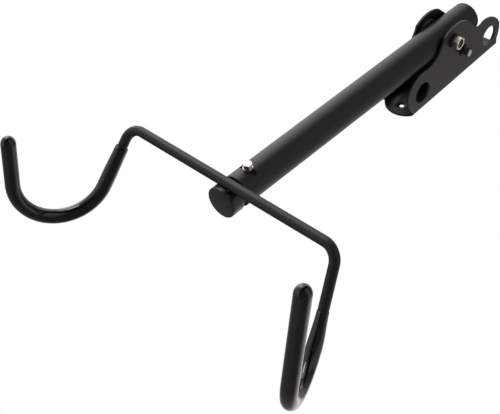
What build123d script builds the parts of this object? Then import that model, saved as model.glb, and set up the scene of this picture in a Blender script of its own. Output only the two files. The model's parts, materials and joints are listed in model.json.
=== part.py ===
from build123d import *
import math
import os

# Folding bicycle wall rack, millimetres.
# +Z is up, the wall is the plane Y = 0 and the room is on the -Y side. +X runs along the fold pivot.
# The origin is the middle of the two wall screw holes, on the back face of the wall bracket.
# The arm is drawn folded down, as it hangs.

os.makedirs("parts", exist_ok=True)

# ---- wall bracket -------------------------------------------------------------------------
sheet = 2.5                  # thickness of the bent steel sheet
screw_spacing = 135.0        # distance between the two wall screw holes
screw_hole = 5.0             # wall screw hole diameter
screw_head = 11.0            # wall screw countersink diameter
screw_neck = 0.4             # straight part of the screw hole, share of the sheet
bend_rounding = 0.9          # radius of the plate's two bends, share of the sheet
ear_gap = 0.7                # arm tube to ear, on each side
web_end_drop = 78.9          # rounded lower end of the wall plate, below the pivot
web_corner_drop = 69.1       # where the ears' lower edge meets the wall plate, below the pivot
tab_top_rise = 84.0          # straight upper end of the wall plate, above the pivot
pivot_above_origin = -3.5
pivot_from_wall = 55.5
lock_hole = 23.2             # padlock holes through the ears
lower_hole_drop = 53.3       # lower padlock hole, below the pivot
upper_hole_rise = 67.2       # upper padlock hole, above the pivot
lock_hole_from_wall = 21.4
lower_lobe = 26.3            # ear's radius round the lower padlock hole
lobe_end = 75.0              # the lobe runs between these angles, in degrees below the horizontal
lobe_start = -8.0
scoop_height = 27.5          # hollow between the lobe and the crown, below the pivot
scoop_beyond_lobe = 4.6

# ---- arm ----------------------------------------------------------------------------------
arm_diameter = 32.0
arm_wall = 2.5
arm_front = 310.4            # front end of the arm tube, from the pivot
axis_offset = 3.0            # arm's axis to the pivot, which lies on the side away from the wall
tail_gap = 0.35              # swinging tail to wall plate
hang_angle = 2.8             # the folded arm leans this far off the wall, degrees
pinch = 2.8                  # how far each side of the tube is pressed in at the pivot
pinch_front = 15.5           # fully pressed stretch, ahead of the pivot
pinch_back = 12.0            # fully pressed stretch, behind the pivot
pinch_ramp_front = 28.0      # length over which the tube returns to round
pinch_ramp_back = 12.0

# ---- pivot hardware -----------------------------------------------------------------------
pivot_diameter = 8.0
pivot_play = 0.05            # radial running clearance on the pivot bolt
pivot_sleeve = 12.0          # outside diameter of the sleeve in the arm
hex_flats = 13.0             # across flats of the bolt head and the nut
bolt_head_height = 5.3
bolt_head_turn = 12.0        # how the bolt head and the nut stand, degrees
nut_turn = 25.0
bolt_chamfer = 0.6
bolt_below_nut = 2.0         # bolt's end below the nut's face
washer_thickness = 1.6
washer_diameter = 16.0
nut_height = 6.8
nut_cone = 12.0              # slope of the cone that trims the nut's corners, degrees
nut_corner_break = 0.35      # how far the cone cuts the corners at the nut's face
insert_height = 1.6          # nylon ring in the nut
insert_wall = 0.8            # nylon ring's thickness round the bolt
insert_recess = 0.4          # ring below the nut's face
side_washer_diameter = 24.0
side_washer_play = 0.1       # beside each side washer

# ---- lock plunger -------------------------------------------------------------------------
plunger_diameter = 8.0
plunger_rise = 19.0          # above the pivot
plunger_from_wall = 31.5
plunger_play = 0.05          # radial running clearance in the ear and its collar
plunger_travel = 5.0
plunger_tip = 0.9            # plunger beyond its clip
plunger_chamfer = 0.7
collar_diameter = 13.0
collar_thickness = 1.6
collar_chamfer = 0.4
clip_diameter = 11.4
clip_thickness = 0.9
clip_mouth = 4.4             # width of the clip's open side

# ---- swivelling head ----------------------------------------------------------------------
head_play = 0.05             # radial running clearance of the head tube in the arm
head_wall = 2.2
head_depth = 47.0            # head tube inside the arm
head_ahead = 14.0            # head tube ahead of the arm's front end
cap_ahead = 20.6             # cap's front face ahead of the arm's front end
cap_length = 15.0
cap_round = 1.4              # rounding of the cap's rims
cap_notch_play = 1.8         # cap's notch ahead of the rod
cap_notch_drop = 0.6         # notch floor below the rod
cap_groove = 0.7             # width of the groove behind the cap's face
cap_groove_depth = 0.5
cap_groove_ahead = 0.4       # groove ahead of the notch
tilt_limit = 20.0            # the head turns this far each way, degrees
tilt_behind = 17.0           # tilt bolt behind the arm's front end
tilt_diameter = 5.0
tilt_flats = 8.0
tilt_head = 4.6
tilt_washer_thickness = 1.2
tilt_washer_diameter = 10.0
tilt_lift = 0.3              # washer above the arm tube
tilt_nut_height = 4.0
tilt_nut_play = 0.1          # nut's corners to the head tube's bore
tilt_bolt_beyond = 0.8       # bolt beyond its nut
slot_play = 0.4              # tilt slot beside the bolt
slot_margin = 6.0            # slot beyond the tilt limit, degrees

# ---- hook rod and sleeves -----------------------------------------------------------------
rod_diameter = 10.0
rod_ahead = 9.9              # cross rod ahead of the arm's front end
rod_sink = 1.35              # depth of the rod's groove in the head tube
rod_seat = 0.05              # gap between the rod and its groove
hook_half_span = 128.6       # from the arm's middle to each corner of the rod
corner_radius = 17.0
toe_out = 23.8               # hooks turn outwards by this angle, degrees
left_lean = 4.7              # hooks lean outwards by these angles, degrees
right_lean = 6.2
hook_drop_angle = -55.7      # direction of the inner leg, from the arm's line, degrees
left_drop_length = 69.2      # left inner leg, from the corner to the bend
right_drop_length = 71.6     # right inner leg
hook_radius = 46.6           # centre line radius of the hook's bend
hook_tip_angle = 99.2        # direction of the outer leg, degrees
left_tip_length = 51.6       # straight part of the left outer leg
right_tip_length = 98.6      # straight part of the right outer leg
sleeve_diameter = 14.6
sleeve_play = 0.05
sleeve_end = 2.6             # closed end of the sleeve beyond the rod's tip
sleeve_round = 4.5
left_sleeve_start = 24.0     # sleeve's open end, from the corner
right_sleeve_start = 55.0
rear_weld = 2.6              # radius of the weld bead behind the rod
front_weld = 1.6
weld_length = 12.0
weld_sink = 0.25             # weld beads' centre below the head tube's surface

# ---- derived places -----------------------------------------------------------------------
arm_radius = arm_diameter / 2
arm_bore = arm_radius - arm_wall
ear_inner = arm_radius + ear_gap
ear_outer = ear_inner + sheet
arm_tail = math.sqrt((pivot_from_wall - sheet - tail_gap)**2 - (arm_radius + axis_offset)**2)
insert_diameter = pivot_diameter + 2 * insert_wall
pressed_half = arm_radius - pinch
head_radius = arm_bore - head_play
head_bore = head_radius - head_wall
rod_radius = rod_diameter / 2
head_start = arm_front - head_depth
head_end = arm_front + head_ahead
cap_front = arm_front + cap_ahead
tilt_station = arm_front - tilt_behind
rod_station = arm_front + rod_ahead
rod_height = head_radius + rod_radius - rod_sink
cap_notch_height = rod_height - rod_radius - cap_notch_drop
weld_height = head_radius - weld_sink

hang = math.radians(hang_angle)
pivot_point = Vector(0, -pivot_from_wall, pivot_above_origin)
arm_dir = Vector(0, -math.sin(hang), -math.cos(hang))    # from the pivot towards the hooks
up_dir = Vector(0, -math.cos(hang), math.sin(hang))      # the side of the arm that the hooks open to
side_dir = Vector(1, 0, 0)
axis_point = pivot_point - up_dir * axis_offset          # on the arm's axis, beside the pivot


def place(along, side, height):
    """A point given along the arm from beside the pivot, sideways, and above the arm's axis."""
    return axis_point + arm_dir * along + side_dir * side + up_dir * height


def station(along):
    """A plane square to the arm: its x runs sideways and its y towards the hooks' open side."""
    return Plane(origin=place(along, 0, 0), x_dir=side_dir, z_dir=arm_dir)


def top_plane(along, height):
    """A plane above the arm's axis and parallel to it: its x runs along the arm and its y sideways."""
    return Plane(origin=place(along, 0, height), x_dir=arm_dir, z_dir=up_dir)


def ear_plane(side):
    """A plane square to the pivot: its x runs out from the wall and its y down, from the pivot's height."""
    return Plane(origin=(side, 0, pivot_above_origin), x_dir=(0, -1, 0), z_dir=(1, 0, 0))


def pivot_plane(side):
    """A plane square to the pivot, centred on it, with its x along the arm."""
    return Plane(origin=place(0, side, axis_offset), x_dir=arm_dir, z_dir=side_dir)


def finish(builder, name):
    builder.part.label = name
    export_step(builder.part, f"parts/{name}.step")


# ---- wall_bracket: one bent sheet, a wall plate with two ears -------------------------------
def lobe_point(angle):
    """A point on the ear's edge round the lower padlock hole."""
    return (
        lock_hole_from_wall + lower_lobe * math.cos(math.radians(angle)),
        lower_hole_drop + lower_lobe * math.sin(math.radians(angle)),
    )


def crown_point(outwards, down):
    """A point on the ear's edge round the pivot."""
    return (pivot_from_wall + outwards, down)


def tab_point(outwards, down):
    """A point on the ear's edge round the upper padlock hole."""
    return (lock_hole_from_wall + outwards, down - upper_hole_rise)


lobe_middle = lobe_point((lobe_start + lobe_end) / 2)
scoop_middle = (lock_hole_from_wall + lower_lobe + scoop_beyond_lobe, scoop_height)
crown_start, crown_middle = crown_point(12.7, 15.5), crown_point(17.8, -5.5)
crown_end = crown_point(11.6, -24.0)
notch_start, notch_middle, notch_end = tab_point(28.0, 26.2), tab_point(24.2, 19.5), tab_point(26.0, 12.2)
tab_middle, tab_end, crest_middle = tab_point(22.0, -5.3), tab_point(6.6, -19.8), tab_point(-3.9, -19.9)
crest_end = (9.0, -tab_top_rise)
heel_direction = (1, 0.9)
edge_height = pivot_above_origin - web_corner_drop
screws = [(0, screw_spacing / 2), (0, -screw_spacing / 2)]

with BuildPart() as wall_bracket:
    with BuildSketch(ear_plane(0)):
        with BuildLine():
            foot = Line((0, web_corner_drop), (sheet, web_corner_drop))
            heel = TangentArc(foot @ 1, lobe_point(lobe_end), tangent=heel_direction)
            lobe = ThreePointArc(heel @ 1, lobe_middle, lobe_point(lobe_start))
            scoop = ThreePointArc(lobe @ 1, scoop_middle, crown_start)
            crown = ThreePointArc(scoop @ 1, crown_middle, crown_end)
            slope = Line(crown @ 1, notch_start)
            notch = ThreePointArc(slope @ 1, notch_middle, notch_end)
            tab = ThreePointArc(notch @ 1, tab_middle, tab_end)
            crest = ThreePointArc(tab @ 1, crest_middle, crest_end)
            head = Line(crest @ 1, (0, -tab_top_rise))
            Line(head @ 1, foot @ 0)
        make_face()
    extrude(amount=ear_outer, both=True)
    # the room between the ears
    with BuildSketch(Plane.XZ.offset(sheet)):
        Rectangle(2 * ear_inner, 4 * (web_end_drop + tab_top_rise))
    extrude(amount=4 * pivot_from_wall, mode=Mode.SUBTRACT)
    # rounded lower end of the wall plate
    with BuildSketch(Plane.XZ):
        with BuildLine():
            left_corner = (-ear_outer, edge_height)
            right_corner = (ear_outer, edge_height)
            ThreePointArc(left_corner, (0, pivot_above_origin - web_end_drop), right_corner)
            Line(right_corner, left_corner)
        make_face()
    extrude(amount=sheet)
    # the two bends: sharp outer corners taken off along the wall
    upright_edges = wall_bracket.edges().filter_by(Axis.Z)
    wall_edges = upright_edges.group_by(Axis.Y)[-1].sort_by(Axis.X)
    fillet([wall_edges[0], wall_edges[-1]], radius=sheet * bend_rounding)
    for drop in (lower_hole_drop, -upper_hole_rise):
        with BuildSketch(ear_plane(0)):
            with Locations((lock_hole_from_wall, drop)):
                Circle(lock_hole / 2)
        extrude(amount=ear_outer, both=True, mode=Mode.SUBTRACT)
    with BuildSketch(ear_plane(0)):
        with Locations((pivot_from_wall, 0)):
            Circle(pivot_diameter / 2 + pivot_play)
    extrude(amount=ear_outer, both=True, mode=Mode.SUBTRACT)
    with BuildSketch(ear_plane(ear_inner)):
        with Locations((plunger_from_wall, -plunger_rise)):
            Circle(plunger_diameter / 2 + plunger_play)
    extrude(amount=sheet, mode=Mode.SUBTRACT)
    with BuildSketch(Plane.XZ):
        with Locations(*screws):
            Circle(screw_hole / 2)
    extrude(amount=sheet, mode=Mode.SUBTRACT)
    # countersinks on the room side
    for _, height in screws:
        with BuildSketch(Plane.XZ.offset(sheet)):
            with Locations((0, height)):
                Circle(screw_head / 2)
        with BuildSketch(Plane.XZ.offset(sheet * screw_neck)):
            with Locations((0, height)):
                Circle(screw_hole / 2)
        loft(mode=Mode.SUBTRACT)
finish(wall_bracket, "wall_bracket")


# ---- pivot bolt, its nut and washers: fixed in the ears -------------------------------------
nut_start = ear_outer + washer_thickness
bolt_end = nut_start + nut_height - bolt_below_nut
pivot_radius = pivot_diameter / 2

with BuildPart() as pivot_bolt:
    with BuildSketch(pivot_plane(-nut_start)):
        Circle(pivot_radius)
    extrude(amount=nut_start + bolt_end)
    chamfer(pivot_bolt.edges().sort_by(Axis.X)[-1], length=bolt_chamfer)
    with BuildSketch(pivot_plane(-nut_start)):
        RegularPolygon(hex_flats / 2, 6, major_radius=False, rotation=bolt_head_turn)
    extrude(amount=-bolt_head_height)
finish(pivot_bolt, "pivot_bolt")

with BuildPart() as pivot_washers:
    for side in (-nut_start, ear_outer):
        with BuildSketch(pivot_plane(side)):
            Circle(washer_diameter / 2)
            Circle(pivot_radius, mode=Mode.SUBTRACT)
        extrude(amount=washer_thickness)
finish(pivot_washers, "pivot_washers")

nut_corner = hex_flats / math.sqrt(3)
with BuildPart() as pivot_nut:
    with BuildSketch(pivot_plane(nut_start)):
        RegularPolygon(hex_flats / 2, 6, major_radius=False, rotation=nut_turn)
    extrude(amount=nut_height)
    # chamfered corners: what a shallow cone leaves of the hexagon
    with BuildSketch(pivot_plane(nut_start)):
        Circle(nut_corner + nut_height * math.tan(math.radians(nut_cone)) - nut_corner_break)
    extrude(amount=nut_height, taper=nut_cone, mode=Mode.INTERSECT)
    with BuildSketch(pivot_plane(nut_start)):
        Circle(pivot_radius)
    extrude(amount=nut_height, mode=Mode.SUBTRACT)
    with BuildSketch(pivot_plane(nut_start + nut_height - insert_height)):
        Circle(insert_diameter / 2)
    extrude(amount=insert_height, mode=Mode.SUBTRACT)
finish(pivot_nut, "pivot_nut")

with BuildPart() as pivot_nut_insert:
    with BuildSketch(pivot_plane(nut_start + nut_height - insert_height)):
        Circle(insert_diameter / 2)
        Circle(pivot_radius, mode=Mode.SUBTRACT)
    extrude(amount=insert_height - insert_recess)
finish(pivot_nut_insert, "pivot_nut_insert")

# ---- lock plunger: slides in through the ear to stand over the raised arm's tail -------------
collar_end = ear_outer + collar_thickness
clip_start = collar_end + plunger_travel
plunger_end = clip_start + clip_thickness + plunger_tip
plunger_radius = plunger_diameter / 2


def plunger_plane(side):
    """A plane square to the plunger, centred on it."""
    return Plane(origin=(side, -plunger_from_wall, pivot_above_origin + plunger_rise), z_dir=(1, 0, 0))


with BuildPart() as lock_pin_collar:
    with BuildSketch(plunger_plane(ear_outer)):
        Circle(collar_diameter / 2)
        Circle(plunger_radius + plunger_play, mode=Mode.SUBTRACT)
    extrude(amount=collar_thickness)
    chamfer(lock_pin_collar.edges().sort_by(Axis.X)[-1], length=collar_chamfer)
finish(lock_pin_collar, "lock_pin_collar")

with BuildPart() as lock_pin:
    with BuildSketch(plunger_plane(ear_inner)):
        Circle(plunger_radius)
    extrude(amount=plunger_end - ear_inner)
    chamfer(lock_pin.edges().sort_by(Axis.X)[-1], length=plunger_chamfer)
finish(lock_pin, "lock_pin")

with BuildPart() as lock_pin_clip:
    with BuildSketch(plunger_plane(clip_start)):
        Circle(clip_diameter / 2)
        Circle(plunger_radius, mode=Mode.SUBTRACT)
        with Locations((0, -clip_diameter / 2)):
            Rectangle(clip_mouth, clip_diameter, mode=Mode.SUBTRACT)
    extrude(amount=clip_thickness)
finish(lock_pin_clip, "lock_pin_clip")

# ---- arm_tube: round tube, pressed flat on both sides at the pivot ---------------------------
pivot_sleeve_radius = pivot_sleeve / 2
profile_margin = 0.6


def pressed_tube(radius, half_pressed):
    """Solid bar of the tube's outside or inside shape, pressed in at the pivot."""
    wide = radius + profile_margin
    with BuildPart() as bar:
        with BuildSketch(station(-arm_tail)):
            Circle(radius)
        extrude(amount=arm_tail + arm_front)
        with BuildSketch(top_plane(0, -2 * arm_radius)):
            with BuildLine():
                back = Line((-2 * arm_tail, wide), (-pinch_back - pinch_ramp_back, wide))
                dip = Spline(back @ 1, (-pinch_back, half_pressed), tangents=[(1, 0), (1, 0)])
                flat = Line(dip @ 1, (pinch_front, half_pressed))
                rise = Spline(flat @ 1, (pinch_front + pinch_ramp_front, wide), tangents=[(1, 0), (1, 0)])
                front = Line(rise @ 1, (2 * arm_front, wide))
                end = Line(front @ 1, (2 * arm_front, 0))
                middle = Line(end @ 1, (-2 * arm_tail, 0))
                Line(middle @ 1, back @ 0)
            make_face()
            mirror(about=Plane.XZ)
        extrude(amount=4 * arm_radius, mode=Mode.INTERSECT)
    return bar.part


arm_outside = pressed_tube(arm_radius, pressed_half)
arm_inside = pressed_tube(arm_bore, pressed_half - arm_wall)
slot_half_angle = math.radians(tilt_limit + slot_margin) + math.asin(tilt_diameter / 2 / arm_bore)
slot_width = tilt_diameter + 2 * slot_play
slot_reach = 2 * arm_radius

with BuildPart() as arm_tube:
    add(arm_outside)
    add(arm_inside, mode=Mode.SUBTRACT)
    with BuildSketch(pivot_plane(-ear_inner)):
        Circle(pivot_sleeve_radius)
    extrude(amount=2 * ear_inner, mode=Mode.SUBTRACT)
    # circumferential slot for the tilt bolt
    with BuildSketch(station(tilt_station - slot_width / 2)):
        slot_x = slot_reach * math.sin(slot_half_angle)
        slot_y = slot_reach * math.cos(slot_half_angle)
        Polygon((0, 0), (slot_x, slot_y), (-slot_x, slot_y), align=None)
    extrude(amount=slot_width, mode=Mode.SUBTRACT)
finish(arm_tube, "arm_tube")

with BuildPart() as sleeve_tube:
    with BuildSketch(pivot_plane(-pressed_half)):
        Circle(pivot_sleeve_radius)
        Circle(pivot_radius + pivot_play, mode=Mode.SUBTRACT)
    extrude(amount=2 * pressed_half)
finish(sleeve_tube, "pivot_sleeve")

side_washer_thickness = ear_inner - pressed_half - side_washer_play
with BuildPart() as side_washers:
    for side in (-pressed_half - side_washer_thickness, pressed_half):
        with BuildSketch(pivot_plane(side)):
            Circle(side_washer_diameter / 2)
            Circle(pivot_radius + pivot_play, mode=Mode.SUBTRACT)
        extrude(amount=side_washer_thickness)
finish(side_washers, "side_washers")

# ---- head tube, turning in the arm's front end ----------------------------------------------
with BuildPart() as rod_groove:
    with BuildSketch(Plane(origin=place(rod_station, -2 * arm_radius, rod_height), z_dir=side_dir)):
        Circle(rod_radius + rod_seat)
    extrude(amount=4 * arm_radius)

tilt_radius = tilt_diameter / 2
with BuildPart() as head_tube:
    with BuildSketch(station(head_start)):
        Circle(head_radius)
        Circle(head_bore, mode=Mode.SUBTRACT)
    extrude(amount=head_end - head_start)
    with BuildSketch(top_plane(tilt_station, 0)):
        Circle(tilt_radius)
    extrude(amount=arm_radius, mode=Mode.SUBTRACT)
    add(rod_groove.part, mode=Mode.SUBTRACT)
finish(head_tube, "head_tube")

# ---- end cap over the head tube's front -----------------------------------------------------
cap_back = cap_front - cap_length
notch_front = rod_station + rod_radius + cap_notch_play
with BuildPart() as end_cap:
    with BuildSketch(station(cap_back)):
        Circle(arm_radius)
    extrude(amount=cap_length)
    rims = end_cap.edges().filter_by(GeomType.CIRCLE)
    fillet(rims, radius=cap_round)
    with BuildSketch(station(cap_back)):
        Circle(head_radius)
    extrude(amount=head_end - cap_back, mode=Mode.SUBTRACT)
    with BuildSketch(station(notch_front)):
        with Locations((0, cap_notch_height + arm_radius)):
            Rectangle(2 * arm_diameter, arm_diameter)
    extrude(amount=-cap_length, mode=Mode.SUBTRACT)
    with BuildSketch(station(notch_front + cap_groove_ahead)):
        Circle(2 * arm_radius)
        Circle(arm_radius - cap_groove_depth, mode=Mode.SUBTRACT)
    extrude(amount=cap_groove, mode=Mode.SUBTRACT)
finish(end_cap, "end_cap")

# ---- tilt bolt, washer and nut: clamp the head in the arm ------------------------------------
tilt_washer_base = arm_radius + tilt_lift
tilt_head_base = tilt_washer_base + tilt_washer_thickness
tilt_nut_corner = tilt_flats / math.sqrt(3)
tilt_nut_top = math.sqrt(head_bore**2 - tilt_nut_corner**2) - tilt_nut_play
tilt_bolt_tip = tilt_nut_top - tilt_nut_height - tilt_bolt_beyond

with BuildPart() as tilt_bolt:
    with BuildSketch(top_plane(tilt_station, tilt_bolt_tip)):
        Circle(tilt_radius)
    extrude(amount=tilt_head_base - tilt_bolt_tip)
    with BuildSketch(top_plane(tilt_station, tilt_head_base)):
        RegularPolygon(tilt_flats / 2, 6, major_radius=False)
    extrude(amount=tilt_head)
finish(tilt_bolt, "tilt_bolt")

with BuildPart() as tilt_washer:
    with BuildSketch(top_plane(tilt_station, tilt_washer_base)):
        Circle(tilt_washer_diameter / 2)
        Circle(tilt_radius, mode=Mode.SUBTRACT)
    extrude(amount=tilt_washer_thickness)
finish(tilt_washer, "tilt_washer")

with BuildPart() as tilt_nut:
    with BuildSketch(top_plane(tilt_station, tilt_nut_top - tilt_nut_height)):
        RegularPolygon(tilt_flats / 2, 6, major_radius=False)
        Circle(tilt_radius, mode=Mode.SUBTRACT)
    extrude(amount=tilt_nut_height)
finish(tilt_nut, "tilt_nut")


# ---- hook rod: one bent round bar -----------------------------------------------------------
def hook_axes(hand, lean_out):
    """The hook's two in-plane directions, forwards and up, for hand +1 (right) or -1 (left)."""
    toe = math.radians(toe_out)
    lean = math.radians(lean_out)
    forward = arm_dir * math.cos(toe) + side_dir * (hand * math.sin(toe))
    raised = up_dir * math.cos(lean) + side_dir * (hand * math.sin(lean))
    raised = (raised - forward * raised.dot(forward)).normalized()
    return forward, raised


def hook_route(hand, lean_out, drop_length, tip_length):
    """Corner bend, inner leg, hook bend and tip of one hook, as named points."""
    forward, raised = hook_axes(hand, lean_out)

    def heading(angle):
        return forward * math.cos(angle) + raised * math.sin(angle)

    def normal(angle):
        return raised * math.cos(angle) - forward * math.sin(angle)

    first = math.radians(hook_drop_angle)
    last = math.radians(hook_tip_angle)
    corner = place(rod_station, hand * hook_half_span, rod_height)
    outward = side_dir * hand
    leg = heading(first)
    turn = math.acos(outward.dot(leg))
    setback = corner_radius * math.tan(turn / 2)
    inward = (leg - outward).normalized()
    bend_centre = corner + inward * (corner_radius / math.cos(turn / 2))
    bend_start = corner + leg * drop_length
    centre = bend_start + normal(first) * hook_radius
    middle = (first + last) / 2
    bend_end = centre - normal(last) * hook_radius
    return {
        "corner": corner,
        "leg": leg,
        "corner_start": corner - outward * setback,
        "corner_middle": bend_centre - inward * corner_radius,
        "corner_end": corner + leg * setback,
        "bend_start": bend_start,
        "bend_middle": centre - normal(middle) * hook_radius,
        "bend_end": bend_end,
        "tip_heading": heading(last),
        "tip": bend_end + heading(last) * tip_length,
    }


left = hook_route(-1, left_lean, left_drop_length, left_tip_length)
right = hook_route(1, right_lean, right_drop_length, right_tip_length)

with BuildPart() as hook_rod:
    with BuildLine() as rod_path:
        Line(left["tip"], left["bend_end"])
        ThreePointArc(left["bend_end"], left["bend_middle"], left["bend_start"])
        Line(left["bend_start"], left["corner_end"])
        ThreePointArc(left["corner_end"], left["corner_middle"], left["corner_start"])
        Line(left["corner_start"], right["corner_start"])
        ThreePointArc(right["corner_start"], right["corner_middle"], right["corner_end"])
        Line(right["corner_end"], right["bend_start"])
        ThreePointArc(right["bend_start"], right["bend_middle"], right["bend_end"])
        Line(right["bend_end"], right["tip"])
    with BuildSketch(Plane(origin=left["tip"], z_dir=left["tip_heading"] * -1)):
        Circle(rod_radius)
    sweep(path=rod_path.wires()[0])
finish(hook_rod, "hook_rod")


def sleeve_core(route, start_length, radius, beyond):
    """Round bar along one hook from its inner leg to beyond its tip."""
    start = route["corner"] + route["leg"] * start_length
    end = route["tip"] + route["tip_heading"] * beyond
    with BuildPart() as core:
        with BuildLine() as path:
            Line(start, route["bend_start"])
            ThreePointArc(route["bend_start"], route["bend_middle"], route["bend_end"])
            Line(route["bend_end"], end)
        with BuildSketch(Plane(origin=start, z_dir=route["leg"])):
            Circle(radius)
        sweep(path=path.wires()[0])
    return core.part


for name, route, start_length in (
    ("left_sleeve", left, left_sleeve_start),
    ("right_sleeve", right, right_sleeve_start),
):
    with BuildPart() as hook_sleeve:
        add(sleeve_core(route, start_length, sleeve_diameter / 2, sleeve_end))
        tip_point = route["tip"] + route["tip_heading"] * sleeve_end
        tip_edge = hook_sleeve.edges().filter_by(GeomType.CIRCLE).sort_by_distance(tip_point)[0]
        fillet(tip_edge, radius=sleeve_round)
        add(
            sleeve_core(route, start_length, rod_radius + sleeve_play, sleeve_play),
            mode=Mode.SUBTRACT,
        )
    finish(hook_sleeve, name)

# ---- weld beads between the rod and the head tube -------------------------------------------
with BuildPart() as rod_welds:
    for along, radius in (
        (rod_station - rod_radius, rear_weld),
        (rod_station + rod_radius, front_weld),
    ):
        with BuildSketch(Plane(origin=place(along, -weld_length / 2, weld_height), z_dir=side_dir)):
            Circle(radius)
        extrude(amount=weld_length)
    with BuildSketch(station(head_start)):
        Circle(head_radius)
    extrude(amount=cap_front - head_start, mode=Mode.SUBTRACT)
    add(rod_groove.part, mode=Mode.SUBTRACT)
finish(rod_welds, "rod_welds")
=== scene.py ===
"""Looks, lights and camera for a folding bicycle wall rack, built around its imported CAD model."""

import json
import math

import bmesh
import bpy
from bpy.props import FloatProperty, FloatVectorProperty, PointerProperty
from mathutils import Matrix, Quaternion, Vector


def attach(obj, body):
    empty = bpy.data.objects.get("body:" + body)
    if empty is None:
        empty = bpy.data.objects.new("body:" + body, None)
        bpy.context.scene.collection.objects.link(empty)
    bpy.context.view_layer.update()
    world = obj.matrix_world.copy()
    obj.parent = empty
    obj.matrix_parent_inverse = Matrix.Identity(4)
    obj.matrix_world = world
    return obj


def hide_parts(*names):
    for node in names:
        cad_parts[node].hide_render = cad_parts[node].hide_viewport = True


bl_info = {
    "name": "Bicycle Wall Rack",
    "version": (1, 0, 0),
    "blender": (4, 5, 0),
    "location": "View3D > Sidebar > Wall Rack",
    "description": "Builds the visual pieces of a folding bicycle wall rack around its CAD frame",
    "category": "Object",
}

MM = 0.001
LEAN = math.radians(2.8)  # the folded arm's lean off the wall

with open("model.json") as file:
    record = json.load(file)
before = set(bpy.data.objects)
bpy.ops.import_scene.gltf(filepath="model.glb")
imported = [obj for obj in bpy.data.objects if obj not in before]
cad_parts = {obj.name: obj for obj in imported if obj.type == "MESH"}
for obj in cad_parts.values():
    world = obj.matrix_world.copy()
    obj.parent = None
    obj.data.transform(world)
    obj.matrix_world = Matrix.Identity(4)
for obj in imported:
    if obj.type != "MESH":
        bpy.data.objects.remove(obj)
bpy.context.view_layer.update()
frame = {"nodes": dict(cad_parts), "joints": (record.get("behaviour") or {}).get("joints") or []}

fold_joint = next(joint for joint in frame["joints"] if joint["name"] == "arm_fold")
PIVOT = Vector(fold_joint["pos_m"])
ALONG = Vector((0, -math.sin(LEAN), -math.cos(LEAN)))  # from the pivot towards the hooks
ABOVE = Vector((0, -math.cos(LEAN), math.sin(LEAN)))  # the side that the hooks open to
ASIDE = Vector((1, 0, 0))
AXIS_OFFSET = 3.0  # millimetres from the pivot to the arm's axis, towards the wall
AXIS_POINT = PIVOT - ABOVE * AXIS_OFFSET * MM


def place(along, side, height):
    """A point from its distances in millimetres along, beside and above the arm's axis."""
    return AXIS_POINT + (ALONG * along + ASIDE * side + ABOVE * height) * MM


# ---------------------------------------------------------------------------------------------
# Sizes, colours and stage settings


def millimetres(name, description, default):
    return FloatProperty(name=name, description=description, default=default, min=0.01)


def angle_size(name, description, degrees):
    return FloatProperty(
        name=name, description=description, default=math.radians(degrees), subtype="ANGLE"
    )


def colour(name, description, default):
    return FloatVectorProperty(
        name=name, description=description, default=default, subtype="COLOR", size=3, min=0, max=1
    )


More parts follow.
